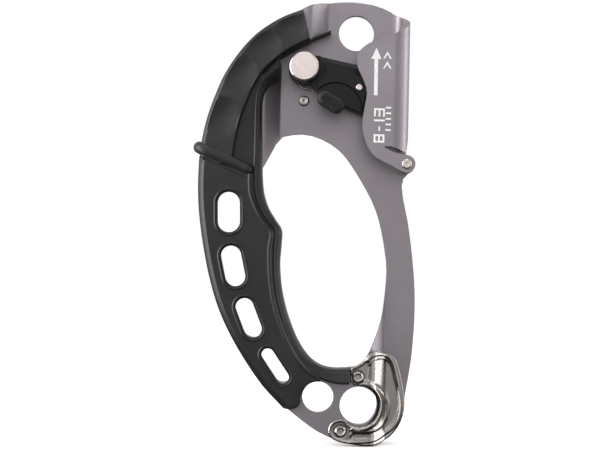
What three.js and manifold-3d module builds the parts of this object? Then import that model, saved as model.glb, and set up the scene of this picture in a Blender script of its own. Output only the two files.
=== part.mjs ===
// A handled rope ascender, in millimetres, +Z up, front facing -Y.
// Origin: on the rope's axis, at the height of the cam axle.
import * as THREE from 'three';
import { mergeVertices } from 'three/addons/utils/BufferGeometryUtils.js';
import Module from 'manifold-3d';

const wasm = await Module();
wasm.setup();

// ---------------------------------------------------------------- driving dimensions
const GAP = 0.3;                     // clearance between neighbouring pieces
const SHEET = 3.5;                   // thickness of the folded sheet
const PLATE_Y = 8.75;                // mid-plane of the base plate and, mirrored, of the flap
const WALL_X = 8.75;                 // mid-plane of the rope channel's wall
const FOLD_RADIUS = 6.65;            // mid-plane radius of the channel's two bends
const JOG_RADIUS = 3;                // mid-plane radius of the joggle bends
const GRIP_Y = 9.3;                  // half thickness of the grips
const GRIP_WEB_Y = 6.2;              // half thickness of the grips' recessed web
const AXLE = { x: -39.3, z: 0, r: 3 };
const CATCH_PIN = { x: -13.2, z: -8.9, r: 1.7 };
const STOP_PIN = { x: -39.1, z: -14.4, r: 2.6 };
const ROLLER = { x: 9.4, z: -44.6, r: 4.4 };
const TOP_HOLE = { x: -14.5, z: 18.6, r: 8.5 };
const FOOT_HOLE = { x: -29.7, z: -155.4, r: 7.4 };
const MAIN_HOLE = { x: -10.3, z: -159.1, r: 9 };
const SCREWS = { upper: { x: -11.1, z: -145.3 }, lower: { x: -18.8, z: -171 } };
const CAM_FRONT = -3.2;
const CAM_BACK = 5.4;
const CATCH_Y = [-6.3, -3.5];        // front and back of the safety catch
const SPIRAL_RATE = 0.577;           // growth of the cam's radius per radian
const SHORTEST_EDGE = 0.02;
const DEG = Math.PI / 180;

// ---------------------------------------------------------------- outlines
const v = (x, z) => new THREE.Vector2(x, z);
const points = (pairs) => pairs.map(([x, z]) => v(x, z));

function smooth(pairs, step = 4) {
  const curve = new THREE.SplineCurve(points(pairs));
  return curve.getSpacedPoints(Math.max(2, Math.ceil(curve.getLength() / step)));
}

function arc(centre, radius, from, to, step = 15) {
  const count = Math.max(2, Math.ceil(Math.abs(to - from) / step));
  return Array.from({ length: count + 1 }, (_, i) => {
    const a = (from + (to - from) * i / count) * DEG;
    return v(centre.x + radius * Math.cos(a), centre.z + radius * Math.sin(a));
  });
}

const circle = (centre, radius, step = 15) => arc(centre, radius, 0, 360 - step, step);

// An open run of points moved sideways: to its left for a positive distance.
function sideways(run, distance) {
  return run.map((p, i) => {
    const before = run[Math.max(0, i - 1)];
    const after = run[Math.min(run.length - 1, i + 1)];
    const along = after.clone().sub(before).normalize();
    return v(p.x - along.y * distance, p.y + along.x * distance);
  });
}

// A closed outline grown outwards, whichever way it runs.
function grown(outline, distance) {
  const sign = THREE.ShapeUtils.isClockWise(outline) ? 1 : -1;
  const n = outline.length;
  return outline.map((p, i) => {
    const a = p.clone().sub(outline[(i + n - 1) % n]).normalize();
    const b = outline[(i + 1) % n].clone().sub(p).normalize();
    const bisector = a.clone().add(b).normalize();
    const stretch = Math.min(2, 1 / Math.max(0.5, bisector.dot(a)));
    return v(p.x - bisector.y * distance * sign * stretch, p.y + bisector.x * distance * sign * stretch);
  });
}

// A slot with round ends between two points.
function slot(from, to, radius) {
  const turn = Math.atan2(to.z - from.z, to.x - from.x) / DEG;
  return [...arc(from, radius, turn + 90, turn + 270, 30), ...arc(to, radius, turn - 90, turn + 90, 30)];
}

// A polyline with its inner corners rounded, as a bent sheet's mid-plane.
function rounded(corners, radii, step = 15) {
  const run = [corners[0]];
  for (let i = 1; i < corners.length - 1; i += 1) {
    const back = corners[i - 1].clone().sub(corners[i]).normalize();
    const on = corners[i + 1].clone().sub(corners[i]).normalize();
    const half = Math.acos(THREE.MathUtils.clamp(back.dot(on), -1, 1)) / 2;
    const reach = radii[i - 1] / Math.tan(half);
    const start = corners[i].clone().addScaledVector(back, reach);
    const end = corners[i].clone().addScaledVector(on, reach);
    const bisector = back.add(on).normalize();
    const centre = corners[i].clone().addScaledVector(bisector, radii[i - 1] / Math.sin(half));
    const a0 = Math.atan2(start.y - centre.y, start.x - centre.x);
    let sweep = Math.atan2(end.y - centre.y, end.x - centre.x) - a0;
    sweep = Math.atan2(Math.sin(sweep), Math.cos(sweep));
    const count = Math.max(2, Math.ceil(Math.abs(sweep) / DEG / step));
    for (let k = 0; k <= count; k += 1) {
      const a = a0 + sweep * k / count;
      run.push(v(centre.x + radii[i - 1] * Math.cos(a), centre.y + radii[i - 1] * Math.sin(a)));
    }
  }
  run.push(corners[corners.length - 1]);
  return run;
}

// ---------------------------------------------------------------- solids
function solid(geometry) {
  const bare = geometry.clone();
  bare.deleteAttribute('normal');
  bare.deleteAttribute('uv');
  const merged = mergeVertices(bare, 1e-4);
  return new wasm.Manifold(new wasm.Mesh({
    numProp: 3,
    vertProperties: new Float32Array(merged.attributes.position.array),
    triVerts: new Uint32Array(merged.index.array),
  }));
}

// Triangles with edges shorter than a hundredth or so of a millimetre collapse onto one corner.
function withoutShortEdges(vertices, triangles) {
  const target = Array.from({ length: vertices.length / 3 }, (_, i) => i);
  const root = (i) => (target[i] === i ? i : root(target[i]));
  const distance = (a, b) => Math.hypot(...[0, 1, 2].map((k) => vertices[3 * a + k] - vertices[3 * b + k]));
  for (let t = 0; t < triangles.length; t += 3) {
    for (let k = 0; k < 3; k += 1) {
      const a = root(triangles[t + k]);
      const b = root(triangles[t + (k + 1) % 3]);
      if (a !== b && distance(a, b) < SHORTEST_EDGE) {
        target[b] = a;
      }
    }
  }
  const kept = [];
  for (let t = 0; t < triangles.length; t += 3) {
    const [a, b, c] = [0, 1, 2].map((k) => root(triangles[t + k]));
    if (a !== b && b !== c && c !== a) {
      kept.push(a, b, c);
    }
  }
  return kept;
}

function geometryOf(body) {
  const mesh = body.getMesh();
  const geometry = new THREE.BufferGeometry();
  geometry.setAttribute('position', new THREE.BufferAttribute(new Float32Array(mesh.vertProperties), 3));
  geometry.setIndex(withoutShortEdges(mesh.vertProperties, mesh.triVerts));
  geometry.computeVertexNormals();
  return geometry;
}

const join = (first, ...others) => others.reduce((sum, other) => sum.add(other), first);
const cut = (first, ...others) => others.reduce((rest, other) => rest.subtract(other), first);

// A plate lying in the XZ plane, from yFront to yBack; chamfer eases its outer edges.
function plateGeometry(outline, yFront, yBack, chamfer = 0) {
  const ordered = THREE.ShapeUtils.isClockWise(outline) ? [...outline].reverse() : outline;
  const options = { depth: yBack - yFront - 2 * chamfer, bevelEnabled: false, steps: 1 };
  if (chamfer > 0) {
    Object.assign(options, {
      bevelEnabled: true,
      bevelThickness: chamfer,
      bevelSize: chamfer,
      bevelOffset: -chamfer,
      bevelSegments: 2,
    });
  }
  return new THREE.ExtrudeGeometry(new THREE.Shape(ordered), options)
    .rotateX(Math.PI / 2)
    .translate(0, yBack - chamfer, 0);
}

function plate(outline, yFront, yBack, chamfer = 0) {
  return solid(plateGeometry(outline, yFront, yBack, chamfer));
}

// A bent section in the XY plane, between two offsets of a mid-plane, extruded up Z.
function bentBar(midPlane, frontOffset, backOffset, z0, z1) {
  const front = sideways(midPlane, frontOffset);
  const back = sideways(midPlane, backOffset).reverse();
  const section = new THREE.Shape([...front, ...back]);
  const bar = new THREE.ExtrudeGeometry(section, { depth: z1 - z0, bevelEnabled: false });
  return solid(bar.translate(0, 0, z0));
}

// A turned piece: profile of [radius, y] pairs about an axis along Y.
function turned(centre, profile, sides = 24) {
  const geometry = new THREE.LatheGeometry(profile.map(([r, y]) => new THREE.Vector2(r, y)), sides);
  return solid(geometry.translate(centre.x, 0, centre.z));
}

function rod(centre, radius, y0, y1, sides = 24) {
  return turned(centre, [[0, y0], [radius, y0], [radius, y1], [0, y1]], sides);
}

const ring = (centre, inner, outer, y0, y1, sides = 24) => turned(
  centre,
  [[inner, y0], [outer, y0], [outer, y1], [inner, y1], [inner, y0]],
  sides,
);

// Sections of equal point count joined into one closed body.
function loft(sections) {
  const n = sections[0].length;
  const positions = sections.flat().flatMap((p) => [p.x, p.y, p.z]);
  const index = [];
  for (let s = 0; s + 1 < sections.length; s += 1) {
    for (let k = 0; k < n; k += 1) {
      const a = s * n + k;
      const b = s * n + (k + 1) % n;
      index.push(a, b, b + n, a, b + n, a + n);
    }
  }
  const last = (sections.length - 1) * n;
  for (let k = 1; k + 1 < n; k += 1) {
    index.push(0, k + 1, k, last, last + k, last + k + 1);
  }
  const geometry = new THREE.BufferGeometry();
  geometry.setAttribute('position', new THREE.Float32BufferAttribute(positions, 3));
  geometry.setIndex(index);
  return geometry;
}

// A wire of round section along a list of 3-D points.
function wire(path, radius, steps, sides = 8) {
  const section = new THREE.Shape(circle({ x: 0, z: 0 }, radius, 360 / sides));
  const curve = new THREE.CatmullRomCurve3(path, false, 'centripetal');
  return solid(new THREE.ExtrudeGeometry(section, { steps, extrudePath: curve, bevelEnabled: false }));
}

function named(name, body, color, roughness, metalness) {
  const material = new THREE.MeshStandardMaterial({ color, roughness, metalness });
  const mesh = new THREE.Mesh(geometryOf(body), material);
  mesh.name = name;
  return mesh;
}

// ---------------------------------------------------------------- shared curves of the frame and grips
// Every run is listed in the sense shown by its name; all are in the XZ plane.
const GRIP_OUTER_UP = smooth([
  [-46.2, -160.0], [-57.1, -148.4], [-72.8, -123.9], [-80.8, -103.5], [-87.3, -69.6], [-87.9, -46.8],
  [-86.2, -31.6], [-78.9, -8.6], [-69.7, 6.8], [-58.3, 18.3], [-41.0, 27.7],
], 5);
const GRIP_INNER_DOWN = smooth([
  [-58.6, -12.5], [-58.6, -34.5], [-57.9, -51.5], [-56.6, -61.4], [-53.3, -68.9], [-48.2, -76.0],
  [-48.5, -84.5], [-48.8, -93.5], [-47.3, -106.8], [-42.6, -121.9], [-36.7, -133.2], [-30.0, -139.5],
  [-22.5, -141.6], [-15.9, -141.0],
], 5);
const OPENING_RIGHT_UP = smooth([
  [-11.2, -140.6], [-7.7, -137.3], [-3.6, -129.5], [0.3, -118], [2.3, -98], [1.5, -87], [-1.7, -71.6],
  [-6.3, -60.1], [-15.6, -44.9], [-22.2, -37.3], [-31.5, -32.0], [-40.5, -30.3], [-49.0, -31.7],
], 5);
const LOWER_EDGE_RIGHT = smooth([
  [-45.2, -160.3], [-37.7, -166.2], [-30, -171.5], [-22.3, -174.9], [-15, -177], [-7.4, -177.4],
  [0.6, -176.6], [5.3, -174.4], [9.2, -169.6], [11.3, -162], [12.7, -152.3],
], 5);
const RIGHT_BAR_UP = smooth([
  [12.7, -152.3], [15, -136.8], [16.1, -117], [15.5, -98.3], [12.6, -75.2], [9.4, -59.8], [8.7, -54.5],
], 6);
const TOP_EDGE_LEFT = smooth([
  [2.6, 28.7], [-1.1, 30.5], [-5.9, 32.1], [-11, 33], [-18.9, 33.5], [-30.2, 32.4], [-36, 30.6],
  [-40.7, 28.3],
], 5);
const SLOTS = [
  { from: { x: -73.3, z: -64.5 }, to: { x: -73.1, z: -72.9 }, r: 5.2 },
  { from: { x: -71.7, z: -89.1 }, to: { x: -69.6, z: -98.6 }, r: 4.7 },
  { from: { x: -64.9, z: -113 }, to: { x: -60.9, z: -123 }, r: 4.2 },
  { from: { x: -53.6, z: -135.1 }, to: { x: -46.5, z: -145.5 }, r: 3.2 },
];
const SLIT = [[-26.8, 17.8], [-34, 14.7], [-39.1, 12], [-45.7, 8.1], [-51, 5.2], [-60, 0.3]];
const SLIT_GAP = 0.9;
const RING_LINE = { outer: v(-87.4, -39.6), inner: v(-63.2, -49.4) };

// ---------------------------------------------------------------- frame
const bendPath = (corners, radii) => rounded(points(corners), radii);
const LEFT_OF_ALL = -100;
const UPPER_BEND = bendPath([
  [LEFT_OF_ALL, 0], [-59.2, 0], [-51.2, PLATE_Y], [4, PLATE_Y],
], [JOG_RADIUS, JOG_RADIUS]);
const TOP_BEND = bendPath([
  [LEFT_OF_ALL, 0], [-37.4, 0], [-28.9, PLATE_Y], [4, PLATE_Y],
], [JOG_RADIUS, JOG_RADIUS]);
const LOWER_BEND = bendPath([
  [LEFT_OF_ALL, 0], [-5.8, 0], [1.2, PLATE_Y], [30, PLATE_Y],
], [JOG_RADIUS, JOG_RADIUS]);
const CHANNEL_BEND = bendPath([
  [2.1, PLATE_Y], [WALL_X, PLATE_Y], [WALL_X, -PLATE_Y], [2.1, -PLATE_Y],
], [FOLD_RADIUS - 0.001, FOLD_RADIUS - 0.001]);

function frameOutline() {
  const ear = arc(ROLLER, 4.3, -48, 75, 20);
  const spineOuterUp = sideways(GRIP_OUTER_UP, -5).slice(2, -2);
  return [
    ...LOWER_EDGE_RIGHT,
    ...RIGHT_BAR_UP.slice(1),
    v(9.4, -51),
    ...ear,
    ...points([[10.4, -39], [10.5, -35.6], [10, -33.2], [8.2, -31.1], [2.6, -31.1]]),
    ...TOP_EDGE_LEFT,
    v(-41.5, 24.2),
    ...spineOuterUp.reverse(),
    v(-45.8, -155.5),
  ];
}

function handOpening() {
  const spineInnerDown = sideways(GRIP_INNER_DOWN, -4.3).filter((p) => p.y < -50 && p.x < -17.5);
  return [
    ...OPENING_RIGHT_UP,
    v(-52, -35.2),
    v(-57.6, -46.4),
    ...spineInnerDown,
    v(-17, -144.2),
    v(-16.2, -141.1),
  ];
}

function regionMasks() {
  const tall = [-20, 20];
  const slitRun = points(SLIT);
  const slitTop = slitRun.map((p) => v(p.x, p.y + SLIT_GAP));
  const right = slitRun[0].x;
  const left = slitRun[slitRun.length - 1].x;
  const top = plate([
    ...slitTop,
    v(left - 6, slitTop[slitTop.length - 1].y),
    ...points([[left - 6, 40], [-24, 40], [-24, 19.8]]),
  ], ...tall);
  const upper = plate([
    ...points([[LEFT_OF_ALL, 40], [left - 2, 40]]), v(left - 2, slitRun[slitRun.length - 1].y),
    ...[...slitRun].reverse(),
    ...points([[right, 40], [30, 40], [30, -97], [-20, -97], [-20, -52], [LEFT_OF_ALL, -52]]),
  ], ...tall);
  const lower = plate(points([
    [LEFT_OF_ALL, -50], [-20, -50], [-20, -95], [30, -95], [30, -190], [LEFT_OF_ALL, -190],
  ]), ...tall);
  return { top, upper, lower };
}

// Height of the folded channel's top edge, from the base plate round to the flap.
function channelTop(share) {
  return heightAt(share, [
    [0, 28.9], [0.07, 28.5], [0.2, 27.3], [0.33, 25.7], [0.47, 23.9], [0.53, 22.9],
    [0.65, 20.8], [0.78, 18.2], [0.9, 16.3], [1, 15.7],
  ]);
}

// Height of its bottom edge: cut back behind the wall, longest where the front bend begins.
function channelBottom(share) {
  return heightAt(share, [
    [0, -31.4], [0.4, -31.6], [0.54, -32], [0.6, -33.4],
    [0.66, -39.2], [0.74, -38.9], [0.85, -37.4], [1, -36.3],
  ]);
}

function heightAt(share, stations) {
  const next = Math.max(1, stations.findIndex(([s]) => s >= share));
  const [s0, z0] = stations[next - 1];
  const [s1, z1] = stations[next];
  return z0 + (z1 - z0) * (share - s0) / (s1 - s0);
}

function channelWall() {
  const total = CHANNEL_BEND.length - 1;
  const outer = sideways(CHANNEL_BEND, SHEET / 2);
  const inner = sideways(CHANNEL_BEND, -SHEET / 2);
  const sections = CHANNEL_BEND.map((_, i) => {
    const top = channelTop(i / total);
    const bottom = channelBottom(i / total);
    return [
      new THREE.Vector3(outer[i].x, outer[i].y, top),
      new THREE.Vector3(inner[i].x, inner[i].y, top),
      new THREE.Vector3(inner[i].x, inner[i].y, bottom),
      new THREE.Vector3(outer[i].x, outer[i].y, bottom),
    ];
  });
  return solid(loft(sections));
}

function flap() {
  const wavyDown = smooth([
    [1.4, 15.4], [-4.2, 13.6], [-8.8, 11.6], [-12, 9.4], [-14.2, 6.6], [-14.8, 3.1], [-13.9, -0.7],
    [-10.5, -8.1], [-9.8, -12.7], [-11.6, -25.4], [-10.2, -33.8], [-6.3, -40.7], [0.5, -44.6],
  ], 3);
  const armEnd = arc(ROLLER, 4.1, -110, 70, 18);
  const slotEnd = points([
    [9, -40.3], [6.4, -40.2], [2.4, -38.9], [-0.9, -37.3], [-1.1, -36.6], [2.4, -36.5],
  ]);
  const outline = [v(2.4, 15.75), ...wavyDown, ...armEnd, ...slotEnd];
  return plate(outline, -PLATE_Y - SHEET / 2, -PLATE_Y + SHEET / 2);
}

// The bent sheet without its channel, grown all round by a margin.
function sheetBody(margin) {
  const outline = plate(grown(frameOutline(), margin), -20, 20);
  const flat = outline.subtract(plate(grown(handOpening(), -margin), -21, 21));
  const masks = regionMasks();
  const half = SHEET / 2 + margin;
  const top = bentBar(TOP_BEND, half, -half, -190, 60).intersect(masks.top);
  const upper = bentBar(UPPER_BEND, half, -half, -190, 60).intersect(masks.upper);
  const earMask = points([[3.5, -97], [30, -97], [30, -30], [3.5, -30]]);
  const ear = plate(earMask, PLATE_Y - half, PLATE_Y + half);
  const lower = bentBar(LOWER_BEND, half, -half, -190, 60).intersect(masks.lower);
  return join(top, upper, ear, lower).intersect(flat);
}

function buildFrame() {
  const windows = SLOTS.map((s) => plate(slot(s.from, s.to, s.r + 1.4), -20, 20));
  const holes = [TOP_HOLE, FOOT_HOLE, MAIN_HOLE].map((h) => plate(circle(h, h.r, 10), -7, 21));
  const bores = [
    rod(AXLE, AXLE.r + 0.1, 5, 14),
    rod(STOP_PIN, 1.5 + 0.1, 5, 14),
    rod(SCREWS.upper, 1.6, -5, 5),
    rod(SCREWS.lower, 1.6, -5, 5),
    rod(ROLLER, 1.7, -14, 14),
  ];
  return cut(join(sheetBody(0), channelWall(), flap()), ...windows, ...holes, ...bores);
}

// ---------------------------------------------------------------- grips
function slotLinings() {
  return SLOTS.map((s) => plate(slot(s.from, s.to, s.r + 1.1), -GRIP_WEB_Y + 1, GRIP_WEB_Y - 1));
}

// A strip across the handle, square to the ring: measured along the ring's line and to its side.
function seamStrip(start, end, lowSide, highSide) {
  const along = RING_LINE.inner.clone().sub(RING_LINE.outer).normalize();
  const across = v(-along.y, along.x);
  const from = RING_LINE.outer;
  const at = (distance, side) => from.clone().addScaledVector(along, distance).addScaledVector(across, side);
  return plate([at(start, highSide), at(start, lowSide), at(end, lowSide), at(end, highSide)], -12, 12);
}

// The groove that the ring sits in.
const ringGroove = () => seamStrip(-10, 26.4, -3.3, 3.3);

function buildLowerGrip() {
  const belowRing = RING_LINE.outer.y - 3;
  const outer = GRIP_OUTER_UP.filter((p) => p.y < belowRing + 12);
  const inner = GRIP_INNER_DOWN.filter((p) => p.y < -38);
  const barEnd = [v(-15.7, -145), ...smooth([[-17.5, -147.8], [-24.5, -148.2]])];
  const roundEye = arc(FOOT_HOLE, FOOT_HOLE.r + 1, 100, 190, 15);
  const outline = [...outer, ...inner, ...barEnd, ...roundEye, v(-39.4, -159.4), v(-43, -160.8)];
  const body = plate(outline, -GRIP_Y, GRIP_Y, 2.4);
  const slots = SLOTS.map((s) => plate(slot(s.from, s.to, s.r), -12, 12));
  const pocket = cut(sheetBody(GAP), ...slotLinings());
  const belowSeam = seamStrip(-30, 130, -200, -GAP / 2);
  return cut(body.intersect(belowSeam), pocket, ringGroove(), ...slots);
}

function buildUpperGrip() {
  const ridge = smooth([
    [-51, 4.5], [-57.3, -0.8], [-61.4, -6.3], [-65.2, -15], [-69.4, -26.3], [-71.6, -38], [-72.6, -52],
  ], 6);
  const outer = GRIP_OUTER_UP.filter((p) => p.y > -52);
  const end = [v(-36.9, 13.2)];
  const thick = [...outer, ...end, ...ridge];
  const innerTurn = smooth([[-54.8, -6.2], [-57.1, -8.3], [-58.6, -12.5]], 3);
  const inner = [v(-50.8, 4.9), v(-50.6, -4.3), ...innerTurn];
  const web = [...outer, ...end, v(-48.7, 7.8), ...inner, v(-58.6, -34.5), v(-58, -52)];
  const lipOuter = smooth([
    [-50.8, -2], [-57, -3.6], [-61.2, -9], [-62.4, -18], [-62.3, -34.5], [-61.8, -52],
  ], 4);
  const lip = [v(-58, -52), v(-58.6, -34.5), ...inner.slice(1).reverse(), ...lipOuter];
  const body = join(
    plate(thick, -GRIP_Y, GRIP_Y, 2.4),
    plate(web, -GRIP_WEB_Y + 1.6, GRIP_WEB_Y - 1.6),
    plate(lip, -GRIP_WEB_Y - 1, GRIP_WEB_Y + 1, 1),
  );
  const aboveSeam = seamStrip(-30, 130, GAP / 2, 200);
  const joggle = plate(points([[-58.7, 8], [-58.7, -48], [-40, -48], [-40, 3]]), -3.6, 12);
  return cut(body.intersect(aboveSeam), sheetBody(GAP), ringGroove(), joggle);
}

// A round bead that wraps the grips' outer edge and lies across both faces.
function buildGripRing() {
  const along = RING_LINE.inner.clone().sub(RING_LINE.outer);
  const at = (share, y) => {
    const p = RING_LINE.outer.clone().addScaledVector(along, share);
    return new THREE.Vector3(p.x, y, p.y);
  };
  const path = [
    at(1, -7.4), at(0.6, -7.4), at(0.2, -7.4), at(0.02, -6.2), at(-0.035, -2.6),
    at(-0.035, 2.6), at(0.02, 6.2), at(0.2, 7.4), at(0.6, 7.4), at(1, 7.4),
  ];
  return wire(path, 2.95, 22, 10);
}

// ---------------------------------------------------------------- wear plate and its screws
const WEAR_FRONT = -SHEET / 2 - GAP - 1.5;
const WEAR_BACK = -SHEET / 2 - GAP;

// The edge round the main hole, standing further off towards the right.
function wearPlateInnerEdge() {
  return Array.from({ length: 19 }, (_, i) => {
    const angle = -122 + 212 * i / 18;
    const away = 9.75 + 1.45 * Math.max(0, Math.cos((angle + 18) * DEG)) ** 2;
    return v(MAIN_HOLE.x + away * Math.cos(angle * DEG), MAIN_HOLE.z + away * Math.sin(angle * DEG));
  });
}

function buildWearPlate() {
  const outline = [
    ...smooth([
      [-14.5, -146.9], [-14.7, -142.6], [-14.1, -140.9], [-11.8, -139.9], [-9.6, -138.5],
      [-7.5, -136.6], [-5.9, -134.5], [-3.3, -133.5], [0.4, -133.7], [4.4, -134.9],
      [7.4, -137.5], [8.9, -141.4], [11, -149.8], [12, -156.5], [11.9, -161.8],
      [10.3, -167.6], [7.7, -172], [4.8, -175], [1.4, -177], [-2.4, -177.7], [-7.4, -177.8],
      [-14.6, -177], [-19.5, -176.1], [-23.3, -174.1], [-24.6, -170.8], [-22.8, -166.8],
    ], 3),
    ...smooth([[-18.9, -165.3], [-15.9, -166]], 3),
    ...wearPlateInnerEdge(),
    v(-13.5, -149.2),
  ];
  const bent = bentBar(LOWER_BEND, WEAR_FRONT, WEAR_BACK, -190, -120);
  const holes = Object.values(SCREWS).map((s) => rod(s, 1.6, -8, 2));
  return cut(bent.intersect(plate(outline, -20, 20)), ...holes);
}

// Button head, shank and a six-sided socket.
function buildScrew(at) {
  const head = WEAR_FRONT - 0.05;
  const body = turned(at, [
    [0, head - 1.5], [2.2, head - 1.5], [3, head - 0.7], [3, head], [1.5, head], [1.5, 4.4], [0, 4.4],
  ]);
  return body.subtract(rod(at, 1.25, head - 3, head - 0.5, 6));
}

const buildNut = (at) => rod(at, 3.6, 2.05, 3.9, 6).subtract(rod(at, 1.6, 1, 5));

// ---------------------------------------------------------------- cam axle, stop pin and springs
function buildCamAxle() {
  return turned(AXLE, [
    [0, -11], [6.3, -11], [6.9, -10.4], [6.9, -7.2], [AXLE.r, -7.2],
    [AXLE.r, 12.2], [4.6, 12.2], [4.6, 13.2], [3.8, 13.8], [0, 13.8],
  ], 30);
}

const buildAxleWasher = () => ring(AXLE, AXLE.r + 0.1, 6.4, 10.8, 11.9, 30);

function buildStopPin() {
  const pin = turned(STOP_PIN, [
    [0, 5.8], [2.2, 5.8], [2.6, 6.1], [2.6, 6.7], [1.5, 6.7],
    [1.5, 10.8], [2.3, 10.8], [2.3, 11.6], [0, 11.6],
  ]);
  return pin.subtract(rod(STOP_PIN, 0.9, 5, 6.2, 12));
}

// A flat coil about an axle with one straight leg leaving it.
function coil(centre, radius, yStart, pitch, turns, startAngle, leg) {
  const perTurn = 12;
  const path = Array.from({ length: Math.round(turns * perTurn) + 1 }, (_, i) => {
    const a = (startAngle + 360 * i / perTurn) * DEG;
    const y = yStart + pitch * i / perTurn;
    return new THREE.Vector3(centre.x + radius * Math.cos(a), y, centre.z + radius * Math.sin(a));
  });
  return [...path, ...leg.map(([x, y, z]) => new THREE.Vector3(x, y, z))];
}

function buildCamSpring() {
  const leg = [[-41.8, 6.2, -6.6], [-39.6, 6.2, -8.3], [-36.2, 6.2, -8.9]];
  return wire(coil(AXLE, 5.4, 2.6, 1.15, 3, 190, leg), 0.42, 54, 6);
}

function buildCatchSpring() {
  return wire(coil(CATCH_PIN, 2.6, -2.75, 0.62, 2, 0, []), 0.25, 24, 5);
}

// ---------------------------------------------------------------- cam group
const spiralRadius = (angle) => 42 * Math.exp(SPIRAL_RATE * (angle - 12) * DEG);

function spiralPoint(angle, lift = 0) {
  const r = spiralRadius(angle) + lift;
  return v(AXLE.x + r * Math.cos(-angle * DEG), AXLE.z + r * Math.sin(-angle * DEG));
}

function camOutline() {
  const face = Array.from({ length: 9 }, (_, i) => spiralPoint(34 - 22 * i / 8));
  const topEdge = smooth([[-1.4, -4.6], [-7, 0.2], [-14.2, 2.3]], 4);
  return [
    ...arc(AXLE, 7.3, 60, 290, 15),
    v(-33.2, -10.4),
    ...smooth([[-29.5, -13.2], [-20.4, -18], [-11.5, -21.3], [-2, -25.8], [2.5, -29.4]], 6),
    ...face,
    ...topEdge,
    v(-31.9, 5.9),
  ];
}

// Rows of backward-leaning teeth on the cam's spiral face.
function camTeeth() {
  const rows = Array.from({ length: 7 }, (_, i) => 14 + 3 * i);
  const columns = [-3.9, -1.3, 1.3, 3.9];
  return rows.flatMap((angle) => columns.map((y) => {
    const foot = spiralPoint(angle, -0.3);
    const tip = spiralPoint(angle - 1.2, 1.5);
    const half = 0.8;
    const corners = [spiralPoint(angle - 1, -0.3), spiralPoint(angle + 1, -0.3)];
    const base = [
      new THREE.Vector3(corners[0].x, y - half, corners[0].y),
      new THREE.Vector3(corners[0].x, y + half, corners[0].y),
      new THREE.Vector3(corners[1].x, y + half, corners[1].y),
      new THREE.Vector3(corners[1].x, y - half, corners[1].y),
    ];
    const nibCorners = [[-0.1, -0.1], [-0.1, 0.1], [0.1, 0.1], [0.1, -0.1]];
    const nib = nibCorners.map(([along, side]) => new THREE.Vector3(
      tip.x + along * (foot.x - tip.x) * 0.2,
      y + side,
      tip.y - along,
    ));
    return solid(loft([nib, base]));
  }));
}

function buildCam() {
  const outline = camOutline();
  const noseOnly = plate([...arc(AXLE, 35.5, -75, 25, 10), v(30, 30), v(30, -70)], -7, 7);
  const body = join(
    plate(outline, CAM_FRONT, CAM_BACK),
    plate(outline, -5.6, CAM_BACK).intersect(noseOnly),
    ring(AXLE, 4, 7.3, -6.8, CAM_FRONT + 1, 30),
    ...camTeeth(),
  );
  const chamfer = new THREE.BoxGeometry(24, 3.4, 3.4)
    .rotateX(45 * DEG)
    .rotateY(11.4 * DEG)
    .translate(-21.5, CAM_FRONT, 4.2);
  return cut(
    body,
    solid(chamfer).intersect(plate(points([[-31.5, 10], [-31.5, -2], [-13, -2], [-13, 10]]), -8, 0)),
    rod(AXLE, 4.1, -8, 8, 30),
    rod(AXLE, 6.3, 1.9, 8, 30),
    rod(CATCH_PIN, CATCH_PIN.r + 0.02, -8, 8),
    rod(CATCH_PIN, 3.2, -8, -1),
  );
}

const buildCamBush = () => ring(AXLE, AXLE.r + 0.06, 4.08, -6.8, CAM_BACK, 30);

function buildCatchPin() {
  return turned(CATCH_PIN, [
    [0, -6.7], [1.3, -6.7], [CATCH_PIN.r, -6.4], [CATCH_PIN.r, CAM_BACK + 0.2], [0, CAM_BACK + 0.2],
  ]);
}

// ---------------------------------------------------------------- safety catch group
const PAD = { from: { x: -29.4, z: -14.9 }, to: { x: -23.8, z: -18.1 }, r: 3.5 };

function buildSafetyCatch() {
  const outline = [
    v(-29.5, 1.9),
    ...arc({ x: AXLE.x, z: AXLE.z }, 10, 2, -48, 12),
    v(-32.2, -12),
    ...smooth([[-28.5, -14.2], [-20.4, -17.6], [-12.2, -20.6]], 6),
    ...arc(CATCH_PIN, 5.2, -60, 100, 20),
    v(-18, -0.9),
  ];
  const scoopFloor = CATCH_Y[0] + 1.1;
  const scoopProfile = [[0, -9], [13.4, -9], [12.2, scoopFloor], [0, scoopFloor]];
  const scoop = turned({ x: -24.2, z: -19.2 }, scoopProfile, 36);
  const lug = plate(slot(PAD.from, PAD.to, PAD.r - 1.6), -12.4, CATCH_Y[0] + 1.5);
  const body = cut(plate(outline, CATCH_Y[0], CATCH_Y[1]), scoop);
  return join(body, lug).subtract(rod(CATCH_PIN, CATCH_PIN.r + 0.06, -8, 0));
}

function buildThumbPad() {
  const outer = plate(slot(PAD.from, PAD.to, PAD.r), -14.6, CATCH_Y[0] + 0.8, 0.8);
  return outer.subtract(plate(slot(PAD.from, PAD.to, PAD.r - 1.3), -12.7, 0));
}

// ---------------------------------------------------------------- roller group
function buildRollerAxle() {
  return turned(ROLLER, [
    [0, -11.7], [1.9, -11.7], [2.3, -11.3], [2.3, -10.55], [1.6, -10.55],
    [1.6, 10.6], [2.6, 10.6], [2.4, 11.7], [0, 11.7],
  ]).subtract(rod(ROLLER, 0.8, -13, -11.2, 12));
}

const buildRollerWasher = (y0) => ring(ROLLER, 1.7, 3.6, y0, y0 + 0.6, 20);

const buildRoller = () => turned(ROLLER, [
  [1.66, -5.9], [3.9, -5.9], [ROLLER.r, -5.4], [ROLLER.r, 5.4], [3.9, 5.9], [1.66, 5.9], [1.66, -5.9],
], 28);

// ---------------------------------------------------------------- assembly
const ALUMINIUM = 0x8d878e;
const BLACK = 0x2c2f30;
const STEEL = 0xc9c2bd;
const DARK_STEEL = 0x17181a;

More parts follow.
